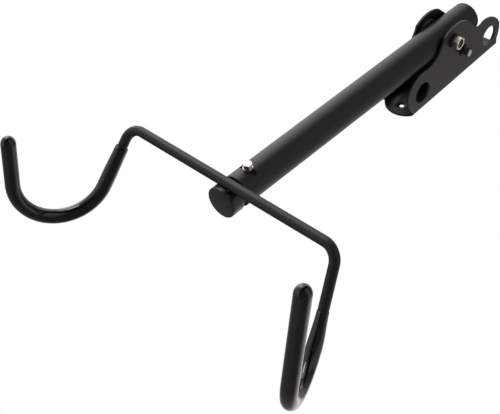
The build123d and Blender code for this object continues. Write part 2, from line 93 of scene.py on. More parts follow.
class WallRackSizes(bpy.types.PropertyGroup):
    """Sizes in millimetres, and angles. The main ones are the CAD model's."""

    arm_radius: millimetres("Arm radius", "Outside radius of the arm tube", 16.0)
    arm_wall: millimetres("Arm wall", "Wall thickness of the arm tube", 2.5)
    arm_front: millimetres("Arm front", "Front end of the arm tube, from the pivot", 310.4)
    arm_tail: millimetres("Arm tail", "Tail end of the arm tube, behind the pivot", 49.1)
    pressed_half: millimetres(
        "Pressed half width", "Half the tube's width where it is pressed", 13.2
    )
    pressed_front: millimetres("Pressed ahead", "Pressed stretch ahead of the pivot", 15.5)
    pressed_back: millimetres("Pressed behind", "Pressed stretch behind the pivot", 12.0)
    ramp_front: millimetres(
        "Front ramp", "Length over which the tube turns round again, ahead", 28.0
    )
    ramp_back: millimetres(
        "Back ramp", "Length over which the tube turns round again, behind", 12.0
    )
    press_blend: millimetres("Press blend", "Softness of the pressed flats' edges", 0.45)
    cap_ahead: millimetres("Cap face", "Cap's face ahead of the arm's front end", 20.6)
    cap_length: millimetres("Cap length", "Length of the cap's round side", 15.0)
    head_ahead: millimetres("Head tube end", "Head tube ahead of the arm's front end", 14.0)
    tilt_station: millimetres("Tilt bolt", "Tilt bolt's place along the arm", 293.4)
    slot_width: millimetres("Tilt slot", "Width of the tilt bolt's slot", 5.8)
    slot_half_angle: angle_size("Slot half angle", "Half the slot's sweep round the tube", 36.7)
    rod_radius: millimetres("Rod radius", "Radius of the bent rod", 5.0)
    rod_station: millimetres("Rod place", "Cross rod's place along the arm", 320.3)
    rod_height: millimetres("Rod height", "Cross rod's height above the arm's axis", 17.1)
    half_span: millimetres("Half span", "From the middle to each corner of the rod", 128.6)
    corner_radius: millimetres("Corner radius", "Bend at each end of the cross rod", 17.0)
    left_drop: millimetres("Left inner leg", "From the left corner to the hook's bend", 69.2)
    right_drop: millimetres("Right inner leg", "From the right corner to the hook's bend", 71.6)
    hook_radius: millimetres("Hook radius", "Centre line radius of the hook's bend", 46.6)
    left_tip: millimetres("Left tip", "Straight part of the left outer leg", 51.6)
    right_tip: millimetres("Right tip", "Straight part of the right outer leg", 98.6)
    sleeve_radius: millimetres("Sleeve radius", "Outside radius of the vinyl sleeves", 7.29)
    sleeve_end: millimetres("Sleeve end", "Closed end of the sleeve beyond the rod", 2.6)
    left_sleeve_start: millimetres("Left sleeve start", "From the corner to the left sleeve", 24.0)
    right_sleeve_start: millimetres(
        "Right sleeve start", "From the corner to the right sleeve", 55.0
    )
    weld_length: millimetres("Weld length", "Length of each weld bead", 12.0)
    weld_height: millimetres("Weld height", "Weld beads' height above the arm's axis", 13.2)
    toe_out: angle_size("Toe out", "Outward turn of the hooks", 23.8)
    left_lean: angle_size("Left lean", "Outward lean of the left hook", 4.7)
    right_lean: angle_size("Right lean", "Outward lean of the right hook", 6.2)
    drop_angle: angle_size("Drop angle", "Direction of the inner leg", -55.7)
    tip_angle: angle_size("Tip angle", "Direction of the outer leg", 99.2)
    edge_round: millimetres("Edge round", "Rounding of cut and pressed edges", 0.6)


class WallRackFinishes(bpy.types.PropertyGroup):
    """Colours of the rack's finishes."""

    powder: colour("Powder coat", "Black paint on the steel", (0.004, 0.0039, 0.004))
    vinyl: colour("Vinyl", "Dipped vinyl on the hooks", (0.003, 0.003, 0.0033))
    cap: colour("Cap plastic", "Moulded end cap", (0.009, 0.0088, 0.009))
    yellow_zinc: colour("Yellow zinc", "Pale plating on the lock nut", (0.84, 0.80, 0.68))
    bright_zinc: colour("Bright zinc", "Plating on the bolts and the pin", (0.6, 0.6, 0.6))
    black_steel: colour("Black steel", "Washers, collar and clip", (0.014, 0.014, 0.015))
    nylon: colour("Nylon", "Side washers and the nut's ring", (0.03, 0.03, 0.032))


class WallRackStage(bpy.types.PropertyGroup):
    """Camera, floor and lights."""

    camera_place: FloatVectorProperty(
        name="Camera place", description="Where the camera stands",
        default=(0.5101, -0.7163, -0.7401), subtype="TRANSLATION", unit="LENGTH",
    )
    camera_heading: angle_size(
        "Heading", "Camera's turn about the vertical, from facing the wall", -36.866
    )
    camera_pitch: angle_size("Pitch", "Camera's upward tilt", 27.359)
    camera_roll: angle_size("Roll", "Camera's turn about its own line of sight", 50.093)
    camera_lens: FloatProperty(
        name="Lens", description="Focal length", default=73.44, unit="CAMERA"
    )
    floor_height: FloatProperty(
        name="Floor height", description="Height of the pale floor", default=-1.3, unit="LENGTH"
    )


# ---------------------------------------------------------------------------------------------
# Finishes


# The part of a noise pattern's range that is spread over the tones and over the roughness.
TONE_SPAN = (0.35, 0.65)
ROUGHNESS_SPAN = (0.3, 0.7)


def new_finish(name):
    """A material with its Principled shader and Object coordinates."""
    material = bpy.data.materials.new(name)
    material.use_nodes = True
    nodes = material.node_tree.nodes
    shader = next(node for node in nodes if node.type == "BSDF_PRINCIPLED")
    coordinates = nodes.new("ShaderNodeTexCoord")
    return material, shader, coordinates.outputs["Object"]


def noise(material, vector, scale, detail=3.0, stretch=(1, 1, 1)):
    """A noise pattern whose scale counts features per metre."""
    nodes, links = material.node_tree.nodes, material.node_tree.links
    mapping = nodes.new("ShaderNodeMapping")
    mapping.inputs["Scale"].default_value = stretch
    pattern = nodes.new("ShaderNodeTexNoise")
    pattern.inputs["Scale"].default_value = scale
    pattern.inputs["Detail"].default_value = detail
    links.new(vector, mapping.inputs["Vector"])
    links.new(mapping.outputs["Vector"], pattern.inputs["Vector"])
    return pattern.outputs["Fac"]


def vary_colour(material, shader, fac, dark, light):
    """Base colour that drifts between two tones."""
    nodes, links = material.node_tree.nodes, material.node_tree.links
    ramp = nodes.new("ShaderNodeValToRGB")
    for stop, position, tone in zip(ramp.color_ramp.elements, TONE_SPAN, (dark, light)):
        stop.position = position
        stop.color = (*tone, 1)
    links.new(fac, ramp.inputs["Fac"])
    links.new(ramp.outputs["Color"], shader.inputs["Base Color"])


def vary_roughness(material, shader, fac, low, high):
    nodes, links = material.node_tree.nodes, material.node_tree.links
    spread = nodes.new("ShaderNodeMapRange")
    start, end = ROUGHNESS_SPAN
    spread.inputs["From Min"].default_value = start
    spread.inputs["From Max"].default_value = end
    spread.inputs["To Min"].default_value = low
    spread.inputs["To Max"].default_value = high
    links.new(fac, spread.inputs["Value"])
    links.new(spread.outputs["Result"], shader.inputs["Roughness"])


def raise_grain(material, shader, fac, height_mm, strength):
    nodes, links = material.node_tree.nodes, material.node_tree.links
    bump = nodes.new("ShaderNodeBump")
    bump.inputs["Distance"].default_value = height_mm * MM
    bump.inputs["Strength"].default_value = strength
    links.new(fac, bump.inputs["Height"])
    links.new(bump.outputs["Normal"], shader.inputs["Normal"])


def lighter(base, factor):
    return tuple(min(1.0, channel * factor) for channel in base)


def powder_coat(finishes):
    """Semi-gloss powder coat with its fine orange peel."""
    material, shader, vector = new_finish("powder_coat")
    patches = noise(material, vector, scale=35)
    vary_colour(material, shader, patches, finishes.powder, lighter(finishes.powder, 1.4))
    vary_roughness(material, shader, noise(material, vector, scale=180), low=0.035, high=0.06)
    peel = noise(material, vector, scale=900, detail=2)
    raise_grain(material, shader, peel, height_mm=0.008, strength=0.25)
    return material


def dipped_vinyl(finishes):
    """Glossy dipped vinyl with slight runs."""
    material, shader, vector = new_finish("dipped_vinyl")
    patches = noise(material, vector, scale=25)
    vary_colour(material, shader, patches, finishes.vinyl, lighter(finishes.vinyl, 1.5))
    vary_roughness(material, shader, noise(material, vector, scale=120), low=0.06, high=0.12)
    runs = noise(material, vector, scale=110, detail=1)
    raise_grain(material, shader, runs, height_mm=0.12, strength=0.3)
    shader.inputs["Coat Weight"].default_value = 0.4
    shader.inputs["Coat Roughness"].default_value = 0.04
    return material


def cap_plastic(finishes):
    """Moulded plastic with a fine spark-eroded grain."""
    material, shader, vector = new_finish("cap_plastic")
    patches = noise(material, vector, scale=60)
    vary_colour(material, shader, patches, finishes.cap, lighter(finishes.cap, 1.5))
    vary_roughness(material, shader, noise(material, vector, scale=700), low=0.26, high=0.38)
    grain = noise(material, vector, scale=2400, detail=2)
    raise_grain(material, shader, grain, height_mm=0.02, strength=0.4)
    return material


def plated_steel(name, base, low, high):
    """Plating over turned steel, with fine streaks and a dull bloom."""
    material, shader, vector = new_finish(name)
    shader.inputs["Metallic"].default_value = 1.0
    vary_colour(material, shader, noise(material, vector, scale=400), lighter(base, 0.8), base)
    vary_roughness(material, shader, noise(material, vector, scale=500), low, high)
    streaks = noise(material, vector, scale=900, stretch=(0.15, 1, 1))
    raise_grain(material, shader, streaks, height_mm=0.02, strength=0.4)
    return material


def blackened_steel(finishes):
    """Oiled black oxide."""
    material, shader, vector = new_finish("black_steel")
    patches = noise(material, vector, scale=300)
    vary_colour(
        material, shader, patches, finishes.black_steel, lighter(finishes.black_steel, 2.0)
    )
    vary_roughness(material, shader, noise(material, vector, scale=600), low=0.3, high=0.45)
    grain = noise(material, vector, scale=1500)
    raise_grain(material, shader, grain, height_mm=0.02, strength=0.5)
    return material


def plain_nylon(finishes):
    """Matt moulded nylon."""
    material, shader, vector = new_finish("nylon")
    patches = noise(material, vector, scale=200)
    vary_colour(material, shader, patches, finishes.nylon, lighter(finishes.nylon, 1.4))
    vary_roughness(material, shader, noise(material, vector, scale=500), low=0.45, high=0.6)
    grain = noise(material, vector, scale=1800)
    raise_grain(material, shader, grain, height_mm=0.02, strength=0.5)
    return material


def finish_for(name):
    """The material of that name, made the first time it is asked for."""
    found = bpy.data.materials.get(name)
    if found:
        return found
    finishes = bpy.context.scene.wall_rack_finishes
    plates = {
        "yellow_plate": (finishes.yellow_zinc, 0.3, 0.42),
        "bright_plate": (finishes.bright_zinc, 0.16, 0.28),
    }
    if name in plates:
        base, low, high = plates[name]
        return plated_steel(name, tuple(base), low, high)
    makers = {
        "powder_coat": powder_coat,
        "dipped_vinyl": dipped_vinyl,
        "cap_plastic": cap_plastic,
        "black_steel": blackened_steel,
        "nylon": plain_nylon,
    }
    return makers[name](finishes)


# ---------------------------------------------------------------------------------------------
# Mesh helpers

SHARP_ANGLE = math.radians(35)
FLAT_ANGLE = math.radians(0.4)  # CAD triangles that meet at less than this become one face
MERGE_DISTANCE = 0.002 * MM
AROUND = 128  # sides of the arm tube and the end cap


def link(mesh_or_curve, name):
    piece = bpy.data.objects.new(name, mesh_or_curve)
    bpy.context.scene.collection.objects.link(piece)
    return piece


def plain(piece):
    """Bakes a piece's modifiers into one plain mesh."""
    bpy.context.view_layer.update()
    graph = bpy.context.evaluated_depsgraph_get()
    mesh = bpy.data.meshes.new_from_object(piece.evaluated_get(graph), depsgraph=graph)
    name = piece.name
    bpy.data.objects.remove(piece)
    mesh.name = name
    if not mesh.polygons:
        raise RuntimeError(f"{name} came out empty")
    return link(mesh, name)


def declare(piece, body, slot, *nodes):
    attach(piece, body)
    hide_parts(*nodes)


def rounded_copy(node, name, finish, width, segments=3):
    """A CAD node's shape with merged faces and rounded edges."""
    mesh = frame["nodes"][node].data.copy()
    shape = bmesh.new()
    shape.from_mesh(mesh)
    bmesh.ops.remove_doubles(shape, verts=shape.verts, dist=MERGE_DISTANCE)
    bmesh.ops.dissolve_limit(
        shape, angle_limit=FLAT_ANGLE, verts=shape.verts, edges=shape.edges
    )
    for face in shape.faces:
        face.smooth = True
    shape.to_mesh(mesh)
    shape.free()
    mesh.materials.clear()
    mesh.materials.append(finish_for(finish))
    mesh.name = name
    for layer in list(mesh.uv_layers):
        mesh.uv_layers.remove(layer)
    piece = link(mesh, name)
    rounding = piece.modifiers.new("Rounding", "BEVEL")
    rounding.width = width * MM
    rounding.segments = segments
    rounding.limit_method = "ANGLE"
    rounding.angle_limit = SHARP_ANGLE
    rounding.harden_normals = True
    mesh.set_sharp_from_angle(angle=SHARP_ANGLE)
    return plain(piece)


# ---------------------------------------------------------------------------------------------
# Geometry Nodes trees


def new_tree(name, *inputs):
    """A Geometry Nodes tree with a geometry input and named inputs."""
    tree = bpy.data.node_groups.new(name, "GeometryNodeTree")
    tree.interface.new_socket("Geometry", in_out="INPUT", socket_type="NodeSocketGeometry")
    for label, kind, default in inputs:
        socket = tree.interface.new_socket(label, in_out="INPUT", socket_type=kind)
        if default is not None:
            socket.default_value = default
    tree.interface.new_socket("Geometry", in_out="OUTPUT", socket_type="NodeSocketGeometry")
    return tree, tree.nodes.new("NodeGroupInput"), tree.nodes.new("NodeGroupOutput")


def close_tree(tree, source, group_in, group_out):
    """Ends a tree in Realize Instances and Set Material, smooth shaded."""
    realize = tree.nodes.new("GeometryNodeRealizeInstances")
    smooth = tree.nodes.new("GeometryNodeSetShadeSmooth")
    paint = tree.nodes.new("GeometryNodeSetMaterial")
    tree.links.new(source, realize.inputs[0])
    tree.links.new(realize.outputs[0], smooth.inputs[0])
    tree.links.new(smooth.outputs[0], paint.inputs[0])
    tree.links.new(group_in.outputs["Finish"], paint.inputs["Material"])
    tree.links.new(paint.outputs[0], group_out.inputs[0])


def swept_bar_tree():
    """Sweeps a round section along a curve, scaled by the curve's radius."""
    found = bpy.data.node_groups.get("Swept bar")
    if found:
        return found
    tree, group_in, group_out = new_tree(
        "Swept bar",
        ("Radius", "NodeSocketFloat", 0.005),
        ("Sides", "NodeSocketInt", 48),
        ("Finish", "NodeSocketMaterial", None),
    )
    section = tree.nodes.new("GeometryNodeCurvePrimitiveCircle")
    sweep = tree.nodes.new("GeometryNodeCurveToMesh")
    sweep.inputs["Fill Caps"].default_value = True
    tree.links.new(group_in.outputs["Radius"], section.inputs["Radius"])
    tree.links.new(group_in.outputs["Sides"], section.inputs["Resolution"])
    tree.links.new(group_in.outputs[0], sweep.inputs["Curve"])
    tree.links.new(section.outputs["Curve"], sweep.inputs["Profile Curve"])
    if "Scale" in sweep.inputs:
        radius = tree.nodes.new("GeometryNodeInputRadius")
        tree.links.new(radius.outputs[0], sweep.inputs["Scale"])
    close_tree(tree, sweep.outputs["Mesh"], group_in, group_out)
    return tree


def weld_bead_tree():
    """Overlapping ripples of weld along a curve."""
    found = bpy.data.node_groups.get("Weld bead")
    if found:
        return found
    tree, group_in, group_out = new_tree(
        "Weld bead",
        ("Ripples", "NodeSocketInt", 14),
        ("Radius", "NodeSocketFloat", 0.002),
        ("Seed", "NodeSocketInt", 4),
        ("Finish", "NodeSocketMaterial", None),
    )
    points = tree.nodes.new("GeometryNodeCurveToPoints")
    points.mode = "COUNT"
    ripple = tree.nodes.new("GeometryNodeMeshUVSphere")
    ripple.inputs["Segments"].default_value = 20
    ripple.inputs["Rings"].default_value = 12
    scatter = tree.nodes.new("GeometryNodeInstanceOnPoints")
    spread = tree.nodes.new("FunctionNodeRandomValue")
    spread.data_type = "FLOAT"
    smallest, largest = spread.inputs[2], spread.inputs[3]
    smallest.default_value, largest.default_value = 0.86, 1.04
    tree.links.new(group_in.outputs[0], points.inputs["Curve"])
    tree.links.new(group_in.outputs["Ripples"], points.inputs["Count"])
    tree.links.new(group_in.outputs["Radius"], ripple.inputs["Radius"])
    tree.links.new(group_in.outputs["Seed"], spread.inputs["Seed"])
    tree.links.new(points.outputs["Points"], scatter.inputs["Points"])
    tree.links.new(ripple.outputs["Mesh"], scatter.inputs["Instance"])
    tree.links.new(spread.outputs[1], scatter.inputs["Scale"])
    close_tree(tree, scatter.outputs["Instances"], group_in, group_out)
    return tree


def run_tree(piece, tree, **values):
    """Adds a tree to a piece, sets its inputs by identifier and makes the result plain."""
    modifier = piece.modifiers.new(tree.name, "NODES")
    modifier.node_group = tree
    for socket in tree.interface.items_tree:
        if socket.in_out == "INPUT" and socket.name in values:
            modifier[socket.identifier] = values[socket.name]
    return plain(piece)


def guide_curve(name, points, radii=None):
    """An open poly curve through points, with a radius factor at each."""
    data = bpy.data.curves.new(name, "CURVE")
    data.dimensions = "3D"
    spline = data.splines.new("POLY")
    spline.points.add(len(points) - 1)
    for index, point in enumerate(points):
        spline.points[index].co = (*point, 1)
        spline.points[index].radius = radii[index] if radii else 1.0
    return link(data, name)


# ---------------------------------------------------------------------------------------------
# Shapes


def smoothstep(value):
    value = min(1.0, max(0.0, value))
    return value * value * (3 - 2 * value)


def arm_half_width(sizes, along, wide, pressed):
    """Half the tube's side-to-side limit at a station along the arm."""
    ahead = smoothstep((along - sizes.pressed_front) / sizes.ramp_front)
    behind = smoothstep((-along - sizes.pressed_back) / sizes.ramp_back)
    return pressed + (wide - pressed) * max(ahead, behind)


def soft_limit(value, limit, blend):
    """The smaller of a value and its limit, with a soft corner; keeps the sign."""
    size = abs(value)
    reach = limit - size
    if reach > 8 * blend:  # too far off for the blend to show
        return value
    limited = size - blend * math.log1p(math.exp(-reach / blend))
    return math.copysign(limited, value)


def arm_tube_mesh(sizes):
    """Round tube pressed flat at the pivot, with rounded rims."""
    fine_steps, coarse_steps, rim_steps = 60, 40, 4
    spare = 4  # millimetres past the front ramp, and past the round tube's side
    unpressed = 99  # a side limit that the tube never reaches
    rim_share = 0.8  # the tube's rims are a little sharper than the sheet's edges
    rim = sizes.edge_round * rim_share
    outer, inner = sizes.arm_radius, sizes.arm_radius - sizes.arm_wall
    middle_start, middle_end = -sizes.arm_tail + rim, sizes.arm_front - rim
    pressed_zone = sizes.pressed_front + sizes.ramp_front + spare
    stations = [
        middle_start + (pressed_zone - middle_start) * step / fine_steps
        for step in range(fine_steps + 1)
    ]
    stations += [
        pressed_zone + (middle_end - pressed_zone) * step / coarse_steps
        for step in range(1, coarse_steps + 1)
    ]

    def ring(along, radius, pressed):
        limit = arm_half_width(sizes, along, sizes.arm_radius + spare, pressed)
        corners = []
        for index in range(AROUND):
            angle = 2 * math.pi * index / AROUND
            side = soft_limit(radius * math.sin(angle), limit, sizes.press_blend)
            corners.append(place(along, side, radius * math.cos(angle)))
        return corners

    def rim_ring(end, outward, radius, inward, turn):
        """A ring on a rim's rounding, turned by an angle from the tube's wall."""
        along = end + outward * rim * math.sin(turn)
        return ring(along, radius + inward * rim * (1 - math.cos(turn)), unpressed)

    quarters = [step / rim_steps for step in range(1, rim_steps + 1)]
    rising = [share * math.pi / 2 for share in quarters]
    falling = [(1 - share) * math.pi / 2 for share in [0] + quarters]
    rings = [ring(along, outer, sizes.pressed_half) for along in stations]
    rings += [rim_ring(middle_end, 1, outer, -1, turn) for turn in rising]
    rings += [rim_ring(middle_end, 1, inner, 1, turn) for turn in falling]
    flat_inner = sizes.pressed_half - sizes.arm_wall
    rings += [ring(along, inner, flat_inner) for along in reversed(stations)]
    rings += [rim_ring(middle_start, -1, inner, 1, turn) for turn in rising]
    rings += [rim_ring(middle_start, -1, outer, -1, turn) for turn in falling[:-1]]

    shape = bmesh.new()
    rows = [[shape.verts.new(corner) for corner in corners] for corners in rings]
    for first, second in zip(rows, rows[1:] + rows[:1]):
        for index in range(AROUND):
            after = (index + 1) % AROUND
            shape.faces.new((first[index], first[after], second[after], second[index]))
    bmesh.ops.remove_doubles(shape, verts=shape.verts, dist=MERGE_DISTANCE / 2)
    bmesh.ops.recalc_face_normals(shape, faces=shape.faces)
    mesh = bpy.data.meshes.new("arm_tube_skin")
    shape.to_mesh(mesh)
    shape.free()
    return mesh


def end_cap_mesh(sizes):
    """Turned cap: crowned face, grooved rim, round side and a rounded back edge."""
    bore_play = 0.05
    crown, crown_reach = 0.7, 0.9  # its height, and its share of the cap's radius
    rim, groove, groove_from_face = 1.3, 0.45, 2.6
    crown_steps, rim_steps = 12, 6
    front = sizes.arm_front + sizes.cap_ahead
    back = front - sizes.cap_length
    outer, bore = sizes.arm_radius, sizes.arm_radius - sizes.arm_wall - bore_play
    seam = front - groove_from_face
    floor = sizes.arm_front + sizes.head_ahead
    rim_turns = [math.pi / 2 * step / rim_steps for step in range(rim_steps + 1)]
    # Half the groove's section, as depths and distances from the groove's middle.
    half_groove = ((0, groove), (0.15, 0.3), (groove, 0.15))
    profile = [
        (outer * step / crown_steps * crown_reach, front + crown * (1 - (step / crown_steps) ** 2))
        for step in range(1, crown_steps + 1)
    ]
    profile += [
        (outer - rim * (1 - math.sin(turn)), front - rim * (1 - math.cos(turn)))
        for turn in rim_turns
    ]
    profile += [(outer - depth, seam + away) for depth, away in half_groove]
    profile += [(outer - depth, seam - away) for depth, away in reversed(half_groove)]
    profile += [
        (outer - rim * (1 - math.cos(turn)), back + rim * (1 - math.sin(turn)))
        for turn in rim_turns
    ]
    profile += [(bore, back), (bore, floor)]

    shape = bmesh.new()
    face_middle = shape.verts.new(place(front + crown, 0, 0))
    floor_middle = shape.verts.new(place(floor, 0, 0))
    turns = [2 * math.pi * index / AROUND for index in range(AROUND)]
    rings = []
    for radius, along in profile:
        rings.append([
            shape.verts.new(place(along, radius * math.sin(turn), radius * math.cos(turn)))
            for turn in turns
        ])
    for index in range(AROUND):
        after = (index + 1) % AROUND
        shape.faces.new((face_middle, rings[0][index], rings[0][after]))
        shape.faces.new((floor_middle, rings[-1][after], rings[-1][index]))
        for first, second in zip(rings, rings[1:]):
            shape.faces.new((first[index], first[after], second[after], second[index]))
    bmesh.ops.recalc_face_normals(shape, faces=shape.faces)
    mesh = bpy.data.meshes.new("end_cap_body")
    shape.to_mesh(mesh)
    shape.free()
    return mesh


def notch_cutter_mesh(sizes):
    """A block over the rod's groove in the cap."""
    room_behind, room_ahead, room_below = 1, 1.8, 0.6
    back = sizes.arm_front + sizes.cap_ahead - sizes.cap_length - room_behind
    front = sizes.rod_station + sizes.rod_radius + room_ahead
    low = sizes.rod_height - sizes.rod_radius - room_below
    high = wide = 2 * sizes.arm_radius
    shape = bmesh.new()
    corners = [
        shape.verts.new(place(along, side, height))
        for along in (back, front) for side in (-wide, wide) for height in (low, high)
    ]
    bmesh.ops.convex_hull(shape, input=corners)
    bmesh.ops.recalc_face_normals(shape, faces=shape.faces)
    mesh = bpy.data.meshes.new("cap_notch")
    shape.to_mesh(mesh)
    shape.free()
    return mesh


def carved(mesh, cutter_mesh, name, finish):
    """A piece with a cutter's shape taken out of it, smooth but for its cut edges."""
    mesh.materials.append(finish_for(finish))
    cutter_mesh.materials.append(finish_for(finish))
    piece = link(mesh, name)
    cutter = link(cutter_mesh, f"{name}_cutter")
    cut = piece.modifiers.new("Cut", "BOOLEAN")
    cut.operation = "DIFFERENCE"
    cut.solver = "EXACT"
    cut.object = cutter
    piece = plain(piece)
    bpy.data.objects.remove(cutter)
    piece.data.shade_smooth()
    piece.data.set_sharp_from_angle(angle=SHARP_ANGLE)
    return piece


def slot_cutter_mesh(sizes):
    """A curved block with rounded ends, as wide as the tilt slot, round the tube's top."""
    half_steps = 12
    half = sizes.slot_width / 2
    inner = sizes.arm_radius - 2 * sizes.arm_wall
    outer = sizes.arm_radius + sizes.arm_wall
    end_turn = half / sizes.arm_radius
    straight = sizes.slot_half_angle - end_turn
    rounding = [math.radians(turn) for turn in (0, 18, 36, 52, 66, 78, 86)]
    right_end = [(straight + end_turn * math.sin(turn), half * math.cos(turn)) for turn in rounding]
    left_end = [(-angle, width) for angle, width in reversed(right_end)]
    middle = [(straight * (step / half_steps - 1), half) for step in range(1, 2 * half_steps)]
    shape = bmesh.new()
    rings = []
    for angle, width in left_end + middle + right_end:
        corners = ((inner, -width), (outer, -width), (outer, width), (inner, width))
        rings.append([
            shape.verts.new(place(
                sizes.tilt_station + across, radius * math.sin(angle), radius * math.cos(angle)
            ))
            for radius, across in corners
        ])
    for first, second in zip(rings, rings[1:]):
        for index in range(4):
            after = (index + 1) % 4
            shape.faces.new((first[index], first[after], second[after], second[index]))
    shape.faces.new(rings[0])
    shape.faces.new(rings[-1])
    bmesh.ops.recalc_face_normals(shape, faces=shape.faces)
    mesh = bpy.data.meshes.new("tilt_slot")
    shape.to_mesh(mesh)
    shape.free()
    return mesh


def arc_points(centre, start_arm, normal_arm, sweep, steps):
    """Points on an arc from a centre, its first radius and the radius a quarter turn on."""
    turns = [sweep * step / steps for step in range(steps + 1)]
    return [centre + start_arm * math.cos(turn) + normal_arm * math.sin(turn) for turn in turns]


def hook_lines(sizes, hand, lean, drop_length, tip_length):
    """One hook's centre line: its corner and corner bend, its leg, its bend and its tip."""
    corner_steps, bend_steps = 24, 48
    forward = ALONG * math.cos(sizes.toe_out) + ASIDE * (hand * math.sin(sizes.toe_out))
    raised = ABOVE * math.cos(lean) + ASIDE * (hand * math.sin(lean))
    raised = (raised - forward * raised.dot(forward)).normalized()

    def heading(angle):
        return forward * math.cos(angle) + raised * math.sin(angle)

    corner = place(sizes.rod_station, hand * sizes.half_span, sizes.rod_height)
    outward = ASIDE * hand
    leg = heading(sizes.drop_angle)
    turn = outward.angle(leg)
    setback = sizes.corner_radius * math.tan(turn / 2) * MM
    start = corner - outward * setback
    to_centre = (leg - outward * outward.dot(leg)).normalized() * sizes.corner_radius * MM
    corner_bend = arc_points(
        start + to_centre, -to_centre, outward * sizes.corner_radius * MM, turn, corner_steps
    )

    bend_start = corner + leg * drop_length * MM
    inward = raised * math.cos(sizes.drop_angle) - forward * math.sin(sizes.drop_angle)
    radius = sizes.hook_radius * MM
    sweep = sizes.tip_angle - sizes.drop_angle
    bend = arc_points(
        bend_start + inward * radius, -inward * radius, leg * radius, sweep, bend_steps
    )
    tip_heading = heading(sizes.tip_angle)
    return {
        "corner": corner,
        "corner_bend": corner_bend,
        "leg": leg,
        "bend": bend,
        "tip_heading": tip_heading,
        "tip": bend[-1] + tip_heading * tip_length * MM,
    }


def between(start, end, steps):
    """Evenly spaced points between two others, without those two."""
    return [start.lerp(end, step / steps) for step in range(1, steps)]


def rod_points(left, right):
    """Centre line of the whole rod, from the left tip to the right."""
    left_half, right_half = (
        hook["corner_bend"]
        + between(hook["corner_bend"][-1], hook["bend"][0], steps=6)
        + hook["bend"]
        for hook in (left, right)
    )
    return (
        [left["tip"]]
        + list(reversed(left_half))
        + between(left["corner_bend"][0], right["corner_bend"][0], steps=12)
        + right_half
        + [right["tip"]]
    )


def sleeve_line(sizes, hook, start_length, thin_start):
    """Centre line and radius factors of a dipped sleeve: thin at first, with a drawn-out tip."""
    lip, lip_steps, lip_power = 0.6, 6, 0.8
    fill_out = 34.0  # millimetres over which the thin start reaches full thickness
    dome, dome_steps = 1.2 * sizes.sleeve_radius, 16
    closed = 0.02  # radius factor of the tip's last ring
    start = hook["corner"] + hook["leg"] * start_length * MM
    end = hook["tip"] + hook["tip_heading"] * sizes.sleeve_end * MM
    bare = sizes.rod_radius / sizes.sleeve_radius
    points, radii = [], []
    for step in range(lip_steps + 1):
        turn = math.pi / 2 * step / lip_steps
        points.append(start + hook["leg"] * lip * (1 - math.cos(turn)) * MM)
        radii.append(bare + (thin_start - bare) * math.sin(turn) ** lip_power)
    dome_base = end - hook["tip_heading"] * dome * MM
    body = between(points[-1], hook["bend"][0], steps=9) + hook["bend"]
    body += between(hook["bend"][-1], dome_base, steps=10)
    for point in body:
        filled = smoothstep((point - start).length / (fill_out * MM))
        points.append(point)
        radii.append(thin_start + (1 - thin_start) * filled)
    for step in range(dome_steps + 1):
        turn = math.pi / 2 * step / dome_steps
        points.append(dome_base + hook["tip_heading"] * dome * math.sin(turn) * MM)
        radii.append(max(closed, math.cos(turn)))
    return points, radii


# ---------------------------------------------------------------------------------------------
# Operators


class WALLRACK_OT_bracket(bpy.types.Operator):
    """Make the bent sheet bracket with rounded rims"""

    bl_idname = "wallrack.bracket"
    bl_label = "Wall Bracket"

    def execute(self, context):
        sizes = context.scene.wall_rack_sizes
        bracket = rounded_copy("wall_bracket", "bracket_sheet", "powder_coat", sizes.edge_round)
        declare(bracket, "bracket", "powder_coat", "wall_bracket")
        return {"FINISHED"}


class WALLRACK_OT_pivot(bpy.types.Operator):
    """Make the pivot bolt, its lock nut and the washers"""

    bl_idname = "wallrack.pivot"
    bl_label = "Pivot Hardware"

    parts = (
        # node, piece, finish, slot, rounding in millimetres
        ("pivot_bolt", "pivot_bolt_body", "bright_plate", "bright_zinc", 0.35),
        ("pivot_nut", "pivot_nut_body", "yellow_plate", "yellow_zinc", 0.45),
        ("pivot_nut_insert", "pivot_nut_ring", "nylon", "lock_nylon", 0.2),
        ("pivot_washers", "pivot_washer_pair", "black_steel", "black_steel", 0.3),
    )

    def execute(self, context):
        for node, name, finish, slot, width in self.parts:
            declare(rounded_copy(node, name, finish, width), "bracket", slot, node)
        return {"FINISHED"}


class WALLRACK_OT_lock_pin(bpy.types.Operator):
    """Make the lock pin, its clip and its collar"""

    bl_idname = "wallrack.lock_pin"
    bl_label = "Lock Pin"

    parts = (
        # node, piece, finish, slot, body, rounding in millimetres
        ("lock_pin_collar", "lock_pin_guide", "black_steel", "black_steel", "bracket", 0.25),
        ("lock_pin", "lock_pin_body", "bright_plate", "bright_zinc", "plunger", 0.3),
        ("lock_pin_clip", "lock_pin_snap_ring", "black_steel", "black_steel", "plunger", 0.15),
    )

    def execute(self, context):
        for node, name, finish, slot, body, width in self.parts:
            declare(rounded_copy(node, name, finish, width), body, slot, node)
        return {"FINISHED"}


class WALLRACK_OT_arm(bpy.types.Operator):
    """Make the pressed arm tube with its tilt slot, and the pieces inside its pivot"""

    bl_idname = "wallrack.arm"
    bl_label = "Arm"

    def execute(self, context):
        sizes = context.scene.wall_rack_sizes
        tube = carved(
            arm_tube_mesh(sizes), slot_cutter_mesh(sizes), "arm_tube_skin", "powder_coat"
        )
        declare(tube, "arm", "powder_coat", "arm_tube")
        sleeve = rounded_copy("pivot_sleeve", "pivot_spacer", "bright_plate", width=0.3)
        declare(sleeve, "arm", "bright_zinc", "pivot_sleeve")
        washers = rounded_copy("side_washers", "side_washer_pair", "nylon", width=0.4)
        declare(washers, "arm", "washer_nylon", "side_washers")
        return {"FINISHED"}


